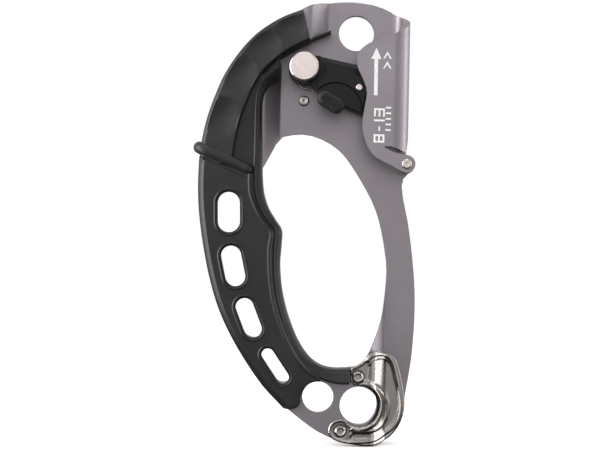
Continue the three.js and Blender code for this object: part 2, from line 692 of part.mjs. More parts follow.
const ascender = new THREE.Group();
ascender.add(
  named('frame', buildFrame(), ALUMINIUM, 0.45, 0.8),
  named('lower_grip', buildLowerGrip(), BLACK, 0.55, 0),
  named('upper_grip', buildUpperGrip(), BLACK, 0.6, 0),
  named('grip_ring', buildGripRing(), BLACK, 0.5, 0),
  named('wear_plate', buildWearPlate(), STEEL, 0.25, 1),
  named('wear_plate_screw_upper', buildScrew(SCREWS.upper), STEEL, 0.3, 1),
  named('wear_plate_screw_lower', buildScrew(SCREWS.lower), STEEL, 0.3, 1),
  named('wear_plate_nut_upper', buildNut(SCREWS.upper), STEEL, 0.35, 1),
  named('wear_plate_nut_lower', buildNut(SCREWS.lower), STEEL, 0.35, 1),
  named('cam_axle', buildCamAxle(), STEEL, 0.3, 1),
  named('cam_axle_washer', buildAxleWasher(), STEEL, 0.35, 1),
  named('stop_pin', buildStopPin(), STEEL, 0.35, 1),
  named('roller_axle', buildRollerAxle(), STEEL, 0.3, 1),
  named('roller_washer_front', buildRollerWasher(-6.65), STEEL, 0.35, 1),
  named('roller_washer_rear', buildRollerWasher(6.05), STEEL, 0.35, 1),
  named('roller', buildRoller(), STEEL, 0.3, 1),
  named('cam', buildCam(), DARK_STEEL, 0.45, 0.6),
  named('cam_bush', buildCamBush(), 0xa8834a, 0.4, 1),
  named('cam_spring', buildCamSpring(), STEEL, 0.3, 1),
  named('catch_pin', buildCatchPin(), STEEL, 0.3, 1),
  named('safety_catch', buildSafetyCatch(), DARK_STEEL, 0.4, 0.5),
  named('thumb_pad', buildThumbPad(), BLACK, 0.7, 0),
  named('catch_spring', buildCatchSpring(), STEEL, 0.3, 1),
);

export default ascender;
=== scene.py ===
"""A handled rope ascender, built round the CAD frame: millimetres inside, metres in Blender."""

import math

import bmesh
import bpy
import numpy as np
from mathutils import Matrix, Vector
from mathutils.geometry import delaunay_2d_cdt, tessellate_polygon


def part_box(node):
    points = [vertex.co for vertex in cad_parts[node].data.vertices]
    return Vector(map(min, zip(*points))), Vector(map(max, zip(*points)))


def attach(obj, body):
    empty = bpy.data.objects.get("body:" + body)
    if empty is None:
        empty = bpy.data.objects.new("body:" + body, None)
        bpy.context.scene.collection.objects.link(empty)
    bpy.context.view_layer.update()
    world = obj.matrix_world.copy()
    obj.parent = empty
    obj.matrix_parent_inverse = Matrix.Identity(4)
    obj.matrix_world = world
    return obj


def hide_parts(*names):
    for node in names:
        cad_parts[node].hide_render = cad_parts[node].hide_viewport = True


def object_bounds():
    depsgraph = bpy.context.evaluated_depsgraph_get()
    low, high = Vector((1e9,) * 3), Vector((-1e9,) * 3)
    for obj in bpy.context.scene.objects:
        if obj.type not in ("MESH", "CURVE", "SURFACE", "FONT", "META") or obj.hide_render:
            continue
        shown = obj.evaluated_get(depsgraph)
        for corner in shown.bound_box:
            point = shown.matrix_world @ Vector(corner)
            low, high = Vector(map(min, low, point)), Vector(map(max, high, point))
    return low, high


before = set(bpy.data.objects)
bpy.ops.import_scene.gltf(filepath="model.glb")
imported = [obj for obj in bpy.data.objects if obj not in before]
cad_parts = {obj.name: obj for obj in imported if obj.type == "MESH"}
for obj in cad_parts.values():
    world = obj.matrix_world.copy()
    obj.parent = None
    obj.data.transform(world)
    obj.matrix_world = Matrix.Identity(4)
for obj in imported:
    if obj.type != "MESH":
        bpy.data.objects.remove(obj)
CAD_BOX = [list(corner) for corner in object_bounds()]
MM = 0.001


def box_mm(node):
    low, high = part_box(node)
    return np.array(low) / MM, np.array(high) / MM


# ---------------------------------------------------------------- places read from the frame
AXLE_LOW, AXLE_HIGH = box_mm("cam_axle")
AXLE = (AXLE_LOW + AXLE_HIGH) / 2
GRIP_Y = box_mm("lower_grip")[1][1]
RING_HIGH = box_mm("grip_ring")[1]
PAD_LOW, PAD_HIGH = box_mm("thumb_pad")
FLAP_Y = box_mm("frame")[0][1]
SCREWS = [
    (box_mm(n)[0] + box_mm(n)[1]) / 2 for n in ("wear_plate_screw_upper", "wear_plate_screw_lower")
]


# ---------------------------------------------------------------- camera, light and floor
PHOTO_DISTANCE = 0.55
PHOTO_CENTRE = (-0.03743, -0.07404)
PHOTO_WIDTH = 0.28975
PHOTO_LEAN = math.radians(1.17)
WORLD_FRONT_TO_BACK = [(-1.0, 1.40), (-0.8, 0.85), (-0.2, 0.38), (0.35, 0.60), (1.0, 1.0)]
WORLD_DOWN_TO_UP = [(-1.0, 0.04), (-0.35, 0.10), (0.12, 1.0), (1.0, 1.15)]
FLOOR_RADIUS = 0.42
FLOOR_CENTRE = (-0.04, 0.27)


def add_camera():
    data = bpy.data.cameras.new("photo_camera")
    data.sensor_width = 36
    data.lens = data.sensor_width * PHOTO_DISTANCE / PHOTO_WIDTH
    data.clip_start = 0.01
    camera = bpy.data.objects.new("photo_camera", data)
    bpy.context.scene.collection.objects.link(camera)
    camera.location = (PHOTO_CENTRE[0], -PHOTO_DISTANCE, PHOTO_CENTRE[1])
    camera.rotation_euler = (math.pi / 2, PHOTO_LEAN * -1, 0)
    bpy.context.scene.camera = camera


def add_area(name, location, target, size, power, tint=(1, 1, 1)):
    data = bpy.data.lights.new(name, "AREA")
    data.shape = "RECTANGLE"
    data.size, data.size_y = size
    data.energy = power
    data.color = tint
    light = bpy.data.objects.new(name, data)
    bpy.context.scene.collection.objects.link(light)
    light.location = location
    light.rotation_euler = (Vector(target) - Vector(location)).to_track_quat("-Z", "Y").to_euler()


def add_world():
    """A pale studio: bright behind the object, softer to the sides, white where the camera looks."""
    world = bpy.data.worlds.new("studio")
    bpy.context.scene.world = world
    world.use_nodes = True
    nodes, links = world.node_tree.nodes, world.node_tree.links
    nodes.clear()
    coords = nodes.new("ShaderNodeTexCoord")
    split = nodes.new("ShaderNodeSeparateXYZ")
    links.new(coords.outputs["Generated"], split.inputs[0])
    across = world_ramp(nodes, links, split.outputs["Y"], WORLD_FRONT_TO_BACK)
    upward = world_ramp(nodes, links, split.outputs["Z"], WORLD_DOWN_TO_UP)
    product = nodes.new("ShaderNodeMix")
    product.data_type = "RGBA"
    product.blend_type = "MULTIPLY"
    product.inputs["Factor"].default_value = 1
    links.new(across, product.inputs["A"])
    links.new(upward, product.inputs["B"])
    soft = nodes.new("ShaderNodeBackground")
    links.new(product.outputs["Result"], soft.inputs["Color"])
    plain = nodes.new("ShaderNodeBackground")
    plain.inputs["Color"].default_value = (1, 1, 1, 1)
    plain.inputs["Strength"].default_value = 1.02
    path = nodes.new("ShaderNodeLightPath")
    mix = nodes.new("ShaderNodeMixShader")
    links.new(path.outputs["Is Camera Ray"], mix.inputs[0])
    links.new(soft.outputs[0], mix.inputs[1])
    links.new(plain.outputs[0], mix.inputs[2])
    output = nodes.new("ShaderNodeOutputWorld")
    links.new(mix.outputs[0], output.inputs[0])


def world_ramp(nodes, links, source, stops):
    remap = nodes.new("ShaderNodeMapRange")
    remap.inputs["From Min"].default_value = -1
    links.new(source, remap.inputs["Value"])
    ramp = nodes.new("ShaderNodeValToRGB")
    ramp.color_ramp.interpolation = "EASE"
    elements = ramp.color_ramp.elements
    while len(elements) < len(stops):
        elements.new(0.5)
    for element, (place, level) in zip(elements, stops):
        element.position = (place + 1) / 2
        element.color = (level, level, level, 1)
    links.new(remap.outputs[0], ramp.inputs[0])
    return ramp.outputs[0]


def add_floor():
    mesh = bpy.data.meshes.new("floor")
    z = CAD_BOX[0][2] - 0.0005
    rim = arc(FLOOR_CENTRE, FLOOR_RADIUS, 0, 355, 5)
    mesh.from_pydata([(x, y, z) for x, y in rim], [], [tuple(range(len(rim)))])
    floor = bpy.data.objects.new("floor", mesh)
    bpy.context.scene.collection.objects.link(floor)
    material = bpy.data.materials.new("floor_paper")
    material.use_nodes = True
    shader = material.node_tree.nodes["Principled BSDF"]
    shader.inputs["Base Color"].default_value = (0.95, 0.95, 0.95, 1)
    shader.inputs["Roughness"].default_value = 0.95
    shader.inputs["Emission Color"].default_value = (1, 1, 1, 1)
    shader.inputs["Emission Strength"].default_value = 0.12
    mesh.materials.append(material)
    floor.visible_glossy = False


def add_stage():
    add_camera()
    add_world()
    add_floor()
    centre = (PHOTO_CENTRE[0], 0, PHOTO_CENTRE[1])
    add_area("left_box", (-0.80, -0.20, 0.02), centre, (0.55, 1.0), 14.0, (1.0, 0.965, 0.93))
    add_area("right_box", (0.80, -0.12, 0.02), centre, (0.80, 1.0), 2.6)
    add_area("right_strip", (0.78, 0.15, 0.0), centre, (0.20, 1.0), 3.4)
    add_area("front_box", (-0.25, -0.95, 0.35), centre, (0.8, 0.6), 1.1)
    add_area("top_box", (-0.05, -0.15, 0.80), centre, (0.8, 0.4), 3.0)
    bpy.context.scene.view_settings.view_transform = "Standard"


# ---------------------------------------------------------------- materials
def new_material(name, colour, roughness, metallic=0.0):
    material = bpy.data.materials.new(name)
    material.use_nodes = True
    shader = material.node_tree.nodes["Principled BSDF"]
    shader.inputs["Base Color"].default_value = (*colour, 1)
    shader.inputs["Roughness"].default_value = roughness
    shader.inputs["Metallic"].default_value = metallic
    return material, shader


def noise_node(tree, scale, detail=4.0, stretch=(1, 1, 1), rough=0.5):
    coords = tree.nodes.new("ShaderNodeTexCoord")
    mapping = tree.nodes.new("ShaderNodeMapping")
    mapping.inputs["Scale"].default_value = stretch
    texture = tree.nodes.new("ShaderNodeTexNoise")
    texture.inputs["Scale"].default_value = scale
    texture.inputs["Detail"].default_value = detail
    texture.inputs["Roughness"].default_value = rough
    tree.links.new(coords.outputs["Object"], mapping.inputs[0])
    tree.links.new(mapping.outputs[0], texture.inputs["Vector"])
    return texture


def vary_colour(material, texture, dark, light, low=0.3, high=0.7):
    tree = material.node_tree
    ramp = tree.nodes.new("ShaderNodeValToRGB")
    ramp.color_ramp.elements[0].position = low
    ramp.color_ramp.elements[0].color = (*dark, 1)
    ramp.color_ramp.elements[1].position = high
    ramp.color_ramp.elements[1].color = (*light, 1)
    tree.links.new(texture.outputs["Fac"], ramp.inputs[0])
    tree.links.new(ramp.outputs[0], tree.nodes["Principled BSDF"].inputs["Base Color"])


def vary_roughness(material, texture, low, high):
    tree = material.node_tree
    remap = tree.nodes.new("ShaderNodeMapRange")
    remap.inputs["From Min"].default_value = 0.3
    remap.inputs["From Max"].default_value = 0.7
    remap.inputs["To Min"].default_value = low
    remap.inputs["To Max"].default_value = high
    tree.links.new(texture.outputs["Fac"], remap.inputs[0])
    tree.links.new(remap.outputs[0], tree.nodes["Principled BSDF"].inputs["Roughness"])


def add_bump(material, textures, strength, distance):
    """Bumps chained one on another, from the coarse to the fine."""
    tree = material.node_tree
    previous = None
    for texture, share in textures:
        bump = tree.nodes.new("ShaderNodeBump")
        bump.inputs["Strength"].default_value = strength * share
        bump.inputs["Distance"].default_value = distance
        tree.links.new(texture.outputs["Fac"], bump.inputs["Height"])
        if previous:
            tree.links.new(previous.outputs[0], bump.inputs["Normal"])
        previous = bump
    tree.links.new(previous.outputs[0], tree.nodes["Principled BSDF"].inputs["Normal"])


def anodised_aluminium():
    material, _ = new_material("anodised_aluminium", (0.25, 0.226, 0.248), 0.46, 0.85)
    cloud = noise_node(material.node_tree, 45, 3)
    grain = noise_node(material.node_tree, 2600, 2, (1, 1, 1), 0.6)
    scratches = noise_node(material.node_tree, 700, 3, (1, 1, 0.08), 0.6)
    vary_colour(material, cloud, (0.235, 0.2125, 0.233), (0.262, 0.237, 0.260))
    vary_roughness(material, grain, 0.41, 0.51)
    add_bump(material, [(scratches, 0.35), (grain, 1.0)], 0.12, 0.00004)
    return material


def moulded(name, colour, light, roughness, grain_scale, strength, specular=0.3):
    material, shader = new_material(name, colour, roughness)
    shader.inputs["Specular IOR Level"].default_value = specular
    cloud = noise_node(material.node_tree, 60, 4)
    grain = noise_node(material.node_tree, grain_scale, 3, (1, 1, 1), 0.65)
    vary_colour(material, cloud, colour, light)
    vary_roughness(material, grain, roughness - 0.06, roughness + 0.08)
    add_bump(material, [(cloud, 0.25), (grain, 1.0)], strength, 0.00005)
    return material


def bright_steel(name, colour, roughness, strength=0.1):
    material, _ = new_material(name, colour, roughness, 1.0)
    lines = noise_node(material.node_tree, 900, 4, (1, 1, 1), 0.6)
    cloud = noise_node(material.node_tree, 130, 4)
    vary_colour(material, cloud, tuple(c * 0.86 for c in colour), colour)
    vary_roughness(material, lines, roughness - 0.02, roughness + 0.04)
    add_bump(material, [(cloud, 0.2), (lines, 1.0)], strength, 0.00002)
    return material


def turned_steel(name, colour, roughness, centre):
    """Bright steel with fine rings round an axis along Y."""
    material, _ = new_material(name, colour, roughness, 1.0)
    tree = material.node_tree
    coords = tree.nodes.new("ShaderNodeTexCoord")
    mapping = tree.nodes.new("ShaderNodeMapping")
    mapping.inputs["Location"].default_value = (-centre[0] * MM, 0, -centre[2] * MM)
    mapping.inputs["Scale"].default_value = (1, 0, 1)
    rings = tree.nodes.new("ShaderNodeTexWave")
    rings.wave_type = "RINGS"
    rings.rings_direction = "SPHERICAL"
    rings.inputs["Scale"].default_value = 900
    rings.inputs["Distortion"].default_value = 1.5
    rings.inputs["Detail"].default_value = 3
    tree.links.new(coords.outputs["Object"], mapping.inputs[0])
    tree.links.new(mapping.outputs[0], rings.inputs["Vector"])
    cloud = noise_node(tree, 350, 4)
    vary_colour(material, cloud, tuple(c * 0.9 for c in colour), colour)
    vary_roughness(material, cloud, roughness - 0.04, roughness + 0.08)
    add_bump(material, [(cloud, 0.4), (rings, 0.6)], 0.12, 0.00003)
    return material


def printed_white():
    material, _ = new_material("printed_white", (0.75, 0.75, 0.75), 0.55)
    grain = noise_node(material.node_tree, 3000, 3)
    vary_colour(material, grain, (0.60, 0.60, 0.60), (0.80, 0.80, 0.80), 0.35, 0.6)
    add_bump(material, [(grain, 1.0)], 0.1, 0.00002)
    return material


# ---------------------------------------------------------------- curves
def spline(points, step):
    """Points a fixed step apart along a centripetal Catmull-Rom curve."""
    p = np.array(points, float)
    p = np.vstack([2 * p[0] - p[1], p, 2 * p[-1] - p[-2]])
    fine = []
    for i in range(1, len(p) - 2):
        p0, p1, p2, p3 = p[i - 1:i + 3]
        t0 = 0.0
        t1 = t0 + np.linalg.norm(p1 - p0) ** 0.5
        t2 = t1 + np.linalg.norm(p2 - p1) ** 0.5
        t3 = t2 + np.linalg.norm(p3 - p2) ** 0.5
        for t in np.linspace(t1, t2, 24, endpoint=False):
            a1 = (t1 - t) / (t1 - t0) * p0 + (t - t0) / (t1 - t0) * p1
            a2 = (t2 - t) / (t2 - t1) * p1 + (t - t1) / (t2 - t1) * p2
            a3 = (t3 - t) / (t3 - t2) * p2 + (t - t2) / (t3 - t2) * p3
            b1 = (t2 - t) / (t2 - t0) * a1 + (t - t0) / (t2 - t0) * a2
            b2 = (t3 - t) / (t3 - t1) * a2 + (t - t1) / (t3 - t1) * a3
            fine.append((t2 - t) / (t2 - t1) * b1 + (t - t1) / (t2 - t1) * b2)
    fine.append(p[-2])
    return resample(np.array(fine), step=step)


def resample(run, step=None, count=None):
    run = np.array(run, float)
    lengths = np.concatenate([[0], np.cumsum(np.linalg.norm(np.diff(run, axis=0), axis=1))])
    count = count or max(2, int(round(lengths[-1] / step)) + 1)
    at = np.linspace(0, lengths[-1], count)
    return np.stack([np.interp(at, lengths, run[:, k]) for k in range(run.shape[1])], 1)


def sideways(run, distance):
    """An open 2-D run moved to its left by a distance."""
    along = np.gradient(run, axis=0)
    along /= np.linalg.norm(along, axis=1)[:, None]
    return run + np.stack([-along[:, 1], along[:, 0]], 1) * distance


def arc(centre, radius, start, end, step=6):
    angles = np.radians(np.linspace(start, end, max(2, int(abs(end - start) / step) + 1)))
    return np.stack([centre[0] + radius * np.cos(angles), centre[1] + radius * np.sin(angles)], 1)


def round_slot(start, end, radius, step=9):
    start, end = np.array(start, float), np.array(end, float)
    turn = math.degrees(math.atan2(end[1] - start[1], end[0] - start[0]))
    return np.vstack([
        arc(start, radius, turn + 90, turn + 270, step),
        arc(end, radius, turn - 90, turn + 90, step),
    ])


def distance_to(points, run, closed=False):
    """Distance from each point to a 2-D polyline."""
    run = np.array(run, float)
    ends = np.roll(run, -1, axis=0) if closed else run[1:]
    starts = run if closed else run[:-1]
    best = np.full(len(points), np.inf)
    for a, b in zip(starts, ends):
        ab = b - a
        t = np.clip(((points - a) @ ab) / max(ab @ ab, 1e-12), 0, 1)
        best = np.minimum(best, np.linalg.norm(points - (a + t[:, None] * ab), axis=1))
    return best


def inside(points, polygon):
    polygon = np.array(polygon, float)
    crossings = np.zeros(len(points), int)
    for a, b in zip(polygon, np.roll(polygon, -1, axis=0)):
        if a[1] == b[1]:
            continue
        spans = (points[:, 1] >= min(a[1], b[1])) & (points[:, 1] < max(a[1], b[1]))
        x = a[0] + (points[:, 1] - a[1]) * (b[0] - a[0]) / (b[1] - a[1])
        crossings += spans & (points[:, 0] < x)
    return crossings % 2 == 1


def smooth_step(x):
    x = np.clip(x, 0, 1)
    return x * x * (3 - 2 * x)


# ---------------------------------------------------------------- meshes
def add_piece(name, vertices, faces, body, material, sharp=35, replaces=()):
    """A closed mesh given in millimetres, tidied, turned outwards and set on its body."""
    mesh = bpy.data.meshes.new(name)
    mesh.from_pydata(
        [tuple(float(c) * MM for c in v) for v in vertices], [],
        [tuple(int(i) for i in f) for f in faces],
    )
    work = bmesh.new()
    work.from_mesh(mesh)
    bmesh.ops.remove_doubles(work, verts=work.verts, dist=1e-7)
    bmesh.ops.dissolve_degenerate(work, edges=work.edges, dist=1e-7)
    bmesh.ops.recalc_face_normals(work, faces=work.faces)
    work.to_mesh(mesh)
    work.free()
    mesh.polygons.foreach_set("use_smooth", [True] * len(mesh.polygons))
    mesh.set_sharp_from_angle(angle=math.radians(sharp))
    piece = bpy.data.objects.new(name, mesh)
    bpy.context.scene.collection.objects.link(piece)
    mesh.materials.append(material)
    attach(piece, body)
    if replaces:
        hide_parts(*replaces)
    return piece


def grid_faces(rows, columns, close_columns=False, offset=0):
    faces = []
    for r in range(rows - 1):
        for c in range(columns if close_columns else columns - 1):
            d = (c + 1) % columns
            faces.append((offset + r * columns + c, offset + r * columns + d,
                          offset + (r + 1) * columns + d, offset + (r + 1) * columns + c))
    return faces


def lofted(sections):
    """Closed sections of equal count, capped at both ends."""
    rows, columns = len(sections), len(sections[0])
    vertices = [v for section in sections for v in section]
    faces = grid_faces(rows, columns, True)
    faces.append(tuple(range(columns))[::-1])
    faces.append(tuple((rows - 1) * columns + c for c in range(columns)))
    return vertices, faces


def swept(path, radius, sides=12, taper=3):
    """A round bar along a 3-D path with softly rounded ends."""
    path = np.array(path, float)
    along = np.gradient(path, axis=0)
    along /= np.linalg.norm(along, axis=1)[:, None]
    side = np.cross(along[0], [0.31, 0.12, 0.94])
    side /= np.linalg.norm(side)
    sections = []
    n = len(path)
    for i, (p, d) in enumerate(zip(path, along)):
        side = side - d * (side @ d)
        side /= np.linalg.norm(side)
        up = np.cross(d, side)
        edge = min(i, n - 1 - i)
        r = radius * (1 if edge >= taper else math.sin(math.pi / 2 * (edge + 0.35) / (taper + 0.35)))
        angles = np.linspace(0, 2 * math.pi, sides, endpoint=False)
        sections.append([p + r * (math.cos(a) * side + math.sin(a) * up) for a in angles])
    return lofted(sections)


def turned(centre, profile, sides=64):
    """A lathe piece about an axis along Y: its profile is closed on itself or ends on the axis."""
    vertices = []
    for r, y in profile:
        for k in range(sides):
            a = 2 * math.pi * k / sides
            vertices.append((centre[0] + r * math.cos(a), y, centre[2] + r * math.sin(a)))
    return vertices, grid_faces(len(profile), sides, True)


class TwoFaced:
    """A moulded plate, the same front and back: rounded bands round its edges, flat between."""

    def __init__(self, face_y):
        self.face_y = face_y
        self.vertices = []
        self.faces = []
        self.loops = []

    def band(self, edge, inner, profiles, draft=0.0):
        """edge and inner are closed loops of equal count; profiles gives (share, height) lists per point.

        With a draft the wall leans so that the rear rim starts that share further from the edge."""
        n = len(edge)
        depth = len(profiles[0])
        wall = max(height for share, height in profiles[0] if share == 0)
        for sign in (-1, 1):
            start = len(self.vertices)
            for k in range(depth):
                for i in range(n):
                    share, height = profiles[i][k]
                    lean = draft * (sign * min(height, wall) + wall) / (2 * wall)
                    share = lean + (1 - lean) * share
                    p = edge[i] * (1 - share) + inner[i] * share
                    self.vertices.append((p[0], sign * height, p[1]))
            self.faces += grid_faces(depth, n, True, start)
        self.loops.append(inner)

    def close(self):
        """Fills each face between the outline, which is the first loop, and the holes."""
        flat = [[Vector((p[0], p[1], 0)) for p in loop] for loop in self.loops]
        triangles = tessellate_polygon(flat)
        points = [p for loop in self.loops for p in loop]
        for sign in (-1, 1):
            start = len(self.vertices)
            self.vertices += [(p[0], sign * self.face_y, p[1]) for p in points]
            self.faces += [tuple(start + i for i in t) for t in triangles]
        return self.vertices, self.faces


# ---------------------------------------------------------------- shared handle curves (XZ, millimetres)
GRIP_OUTER_UP = [
    (-46.2, -160.0), (-57.1, -148.4), (-72.8, -123.9), (-80.8, -103.5), (-87.3, -69.6),
    (-87.9, -46.8), (-86.2, -31.6), (-78.9, -8.6), (-69.7, 6.8), (-58.3, 18.4), (-41.2, 28.6),
]
BAR_RIGHT = [
    (-50.8, -5.4), (-54.2, -7.4), (-57.2, -11.0), (-58.5, -15.8), (-58.6, -27), (-58.2, -40),
    (-57.9, -51.5), (-57.0, -59.5), (-54.6, -66.5), (-51.2, -72.0), (-48.3, -76.6), (-48.3, -83.3),
    (-48.8, -92.4), (-47.9, -103), (-46.5, -110), (-44.3, -117.5), (-39.6, -128.5), (-34.2, -136.2),
    (-28.5, -140.2), (-22.5, -141.5), (-18.6, -141.4), (-15.7, -141.3),
]
BAR_LEFT = [
    (-50.8, 0.8), (-55.6, -3.4), (-60.1, -8.4), (-61.7, -14.8), (-62.0, -27), (-62.1, -40),
    (-62.1, -51.5), (-61.6, -59.5), (-59.0, -66.9), (-55.4, -72.6), (-51.9, -77.2), (-52.2, -83.4),
    (-52.2, -92.4), (-51.2, -103.4), (-49.9, -110.6), (-47.6, -118.6), (-43.4, -130.3),
    (-38.0, -139.2), (-31.0, -145.0), (-24.0, -147.6), (-19.4, -148.3), (-15.7, -148.2),
]
BODY_EDGE = [
    (-62.0, -50.5), (-61.4, -59.5), (-58.4, -67.6), (-54.7, -73.2), (-51.2, -77.6), (-51.7, -84.0),
    (-51.7, -92.4), (-50.7, -103.4), (-49.3, -110.6), (-46.6, -119.0), (-42.0, -130.0),
    (-36.4, -138.3), (-31.0, -143.4), (-28.6, -145.0),
]
BODY_FACE_EDGE = [
    (-65.4, -50.5), (-65.0, -59.5), (-61.9, -67.6), (-58.3, -73.6), (-54.9, -78.4), (-55.7, -84.6),
    (-55.7, -92.9), (-54.6, -104.0), (-53.0, -111.6), (-50.2, -120.4), (-45.5, -131.7),
    (-39.4, -140.6), (-33.4, -145.4), (-29.6, -146.4),
]
SLOTS = [
    ((-73.3, -64.5), (-73.1, -72.9), 5.2),
    ((-71.7, -89.1), (-69.6, -98.6), 4.7),
    ((-64.9, -113.0), (-60.9, -123.0), 4.2),
    ((-53.6, -135.1), (-46.5, -145.5), 2.95),
]
FOOT_EYE = ((-29.7, -155.4), 7.4)
MAIN_EYE = ((-10.3, -159.1), 9.0)
RING_OUTER = np.array((-87.4, -38.7))
RING_INNER = np.array((-63.2, -49.4))
RING_R = 2.95

OUTER_PROFILE = [
    (0, 0.0), (-0.05, 0.12), (0, 0.25), (0, 6.3), (0.02, 6.75), (0.08, 7.15), (0.66, 8.56),
    (0.76, 8.8), (0.86, 9.03), (0.94, 9.2), (1, 9.3),
]
BEAD_PROFILE = [
    (0, 0.0), (0, 3.0), (0, 7.9), (0.12, 8.0), (0.25, 8.35), (0.35, 9.1), (0.44, 9.65), (0.52, 9.8),
    (0.58, 9.76), (0.76, 9.3), (1, 9.3),
]
END_PROFILE = [
    (0, 0.0), (0, 1.0), (0, 3.0), (0, 7.9), (0.08, 8.4), (0.22, 8.85), (0.4, 9.1), (0.6, 9.22),
    (0.7, 9.25), (0.8, 9.28), (1, 9.3),
]
SLOT_PROFILE = [
    (0, 0.0), (0, 3.0), (0, 8.3), (0.06, 8.8), (0.20, 9.12), (0.34, 9.2), (0.44, 9.52),
    (0.56, 9.68), (0.68, 9.52), (0.80, 9.3), (1, 9.3),
]
SLOT_DRAFT = 0.5
SLOT_RIM = 2.3


def lower_grip(material):
    outer = spline(GRIP_OUTER_UP, 1.6)
    outer = outer[outer[:, 1] < RING_OUTER[1] - RING_R - 0.3]
    edge_run = resample(spline(BODY_EDGE, 1.0), count=100)
    face_run = resample(spline(BODY_FACE_EDGE, 1.0), count=100)
    seam = np.linspace(outer[-1], edge_run[0], 14)[1:-1]
    eye = arc(FOOT_EYE[0], FOOT_EYE[1] + 0.75, 84, 186, 5)
    tail = spline([eye[-1], (-38.1, -157.4), (-39.6, -159.6), (-43.0, -160.5), outer[0]], 1.0)[1:-1]
    end_run = np.vstack([eye, tail])
    edge = np.vstack([outer, seam, edge_run, end_run])
    inner = np.vstack([
        sideways(outer, -2.8), sideways(seam, -0.9), face_run, sideways(end_run, -1.0),
    ])
    inner[len(outer) - 1] = (inner[len(outer) - 2] + inner[len(outer)]) / 2
    profiles = ([OUTER_PROFILE] * len(outer) + [END_PROFILE] * len(seam)
                + [BEAD_PROFILE] * len(edge_run) + [END_PROFILE] * len(end_run))
    plate = TwoFaced(GRIP_Y)
    plate.band(edge, inner, profiles)
    for start, end, radius in SLOTS:
        rim = round_slot(start, end, radius)
        plate.band(rim, round_slot(start, end, radius + SLOT_RIM), [SLOT_PROFILE] * len(rim), SLOT_DRAFT)
    vertices, faces = plate.close()
    add_piece("lower_grip_body", vertices, faces, "root", material, 30, ["lower_grip"])


BAR_HALF = [
    (0.0, 0.0), (0.0, 2.4), (0.04, 4.4), (0.13, 5.7), (0.28, 6.75), (0.45, 7.3), (0.62, 7.6),
    (0.74, 7.95), (0.80, 8.2), (0.85, 8.3), (0.88, 8.25), (1.01, 7.85), (1.03, 7.2), (1.03, 5.5),
]
BAR_SECTION = [(t, -y) for t, y in BAR_HALF[::-1]] + BAR_HALF[1:]
BAR_TIP = [1.0, 0.995, 0.975, 0.93, 0.84, 0.66]


def inner_bar(material):
    """The rounded bar along the hand's side of both grips, ending bluntly beside the wear plate."""
    count = 220
    pairs = resample_pairs(BAR_RIGHT, BAR_LEFT, count)
    sections = [bar_section(a, b, 1.0) for a, b in pairs]
    a, b = pairs[-1]
    onward = (pairs[-1][0] - pairs[-2][0]) / np.linalg.norm(pairs[-1][0] - pairs[-2][0])
    for k, shrink in enumerate(BAR_TIP[1:]):
        reach = onward * 0.22 * (k + 1)
        sections.append(bar_section(a + reach, b + reach, shrink))
    vertices, faces = lofted(sections)
    add_piece("grip_inner_bar", vertices, faces, "root", material, 40)


def bar_section(a, b, shrink):
    middle = (a + b) / 2
    a, b = middle + (a - middle) * shrink, middle + (b - middle) * shrink
    return [((1 - t) * a[0] + t * b[0], y * shrink, (1 - t) * a[1] + t * b[1]) for t, y in BAR_SECTION]


def resample_pairs(first, second, count):
    """Two matched runs sampled together, so that each pair stays face to face."""
    pairs = np.hstack([np.array(first, float), np.array(second, float)])
    dense = spline(pairs, 0.8)
    dense = resample(dense, count=count)
    return [(row[:2], row[2:]) for row in dense]


# Matched stations of the upper grip: outer silhouette, and the ridge or lower edge facing it.
UPPER_OUTER = [
    (-87.9, -46.0), (-86.9, -36.5), (-84.6, -25.2), (-81.2, -14.8), (-76.9, -4.6), (-71.0, 5.0),
    (-63.8, 13.6), (-57.2, 19.0), (-49.5, 23.6), (-40.6, 27.2),
]
UPPER_RIDGE = [
    (-72.5, -46.0), (-71.2, -36.5), (-69.2, -26.3), (-66.5, -18.3), (-63.0, -9.6), (-58.4, -2.2),
    (-53.4, 2.8), (-48.6, 6.7), (-43.4, 9.8), (-37.0, 12.9),
]
SCALLOPS = [((-78.2, -24.4), 10.0), ((-70.0, -3.5), 9.5), ((-58.8, 9.6), 9.0), ((-46.0, 18.6), 8.0)]
SCALLOP_DEPTH = 1.7
UPPER_RIM = [
    (0.0, 0.0), (-0.004, 0.12), (0.0, 0.25), (0.0, 6.4), (0.005, 6.8), (0.015, 7.1), (0.085, 8.1),
    (0.105, 8.38),
]
UPPER_FACE = np.linspace(0.13, 0.945, 26)
UPPER_RIDGE_SIDE = [
    (0.96, 9.44), (0.975, 9.26), (0.99, 8.98), (1.0, 8.6), (1.012, 6.0), (1.02, 3.0), (1.02, 0.0),
]
SLIT_GAP = 0.9
SLIT = [(-26.9, 17.7), (-34.0, 14.7), (-39.1, 12.0), (-45.7, 8.1), (-51.0, 5.2)]


def upper_grip_height(point, share):
    """Half thickness of the outer facet: a low crown with a row of shallow dishes for the palm."""
    crown = 8.75 + 0.75 * share
    dent = 0.0
    for centre, radius in SCALLOPS:
        away = math.hypot(point[0] - centre[0], point[1] - centre[1]) / radius
        dent = max(dent, SCALLOP_DEPTH * (1 - away * away) if away < 1 else 0.0)
    return crown - dent * math.sin(math.pi * min(1.0, 1.15 - share) / 1.3)


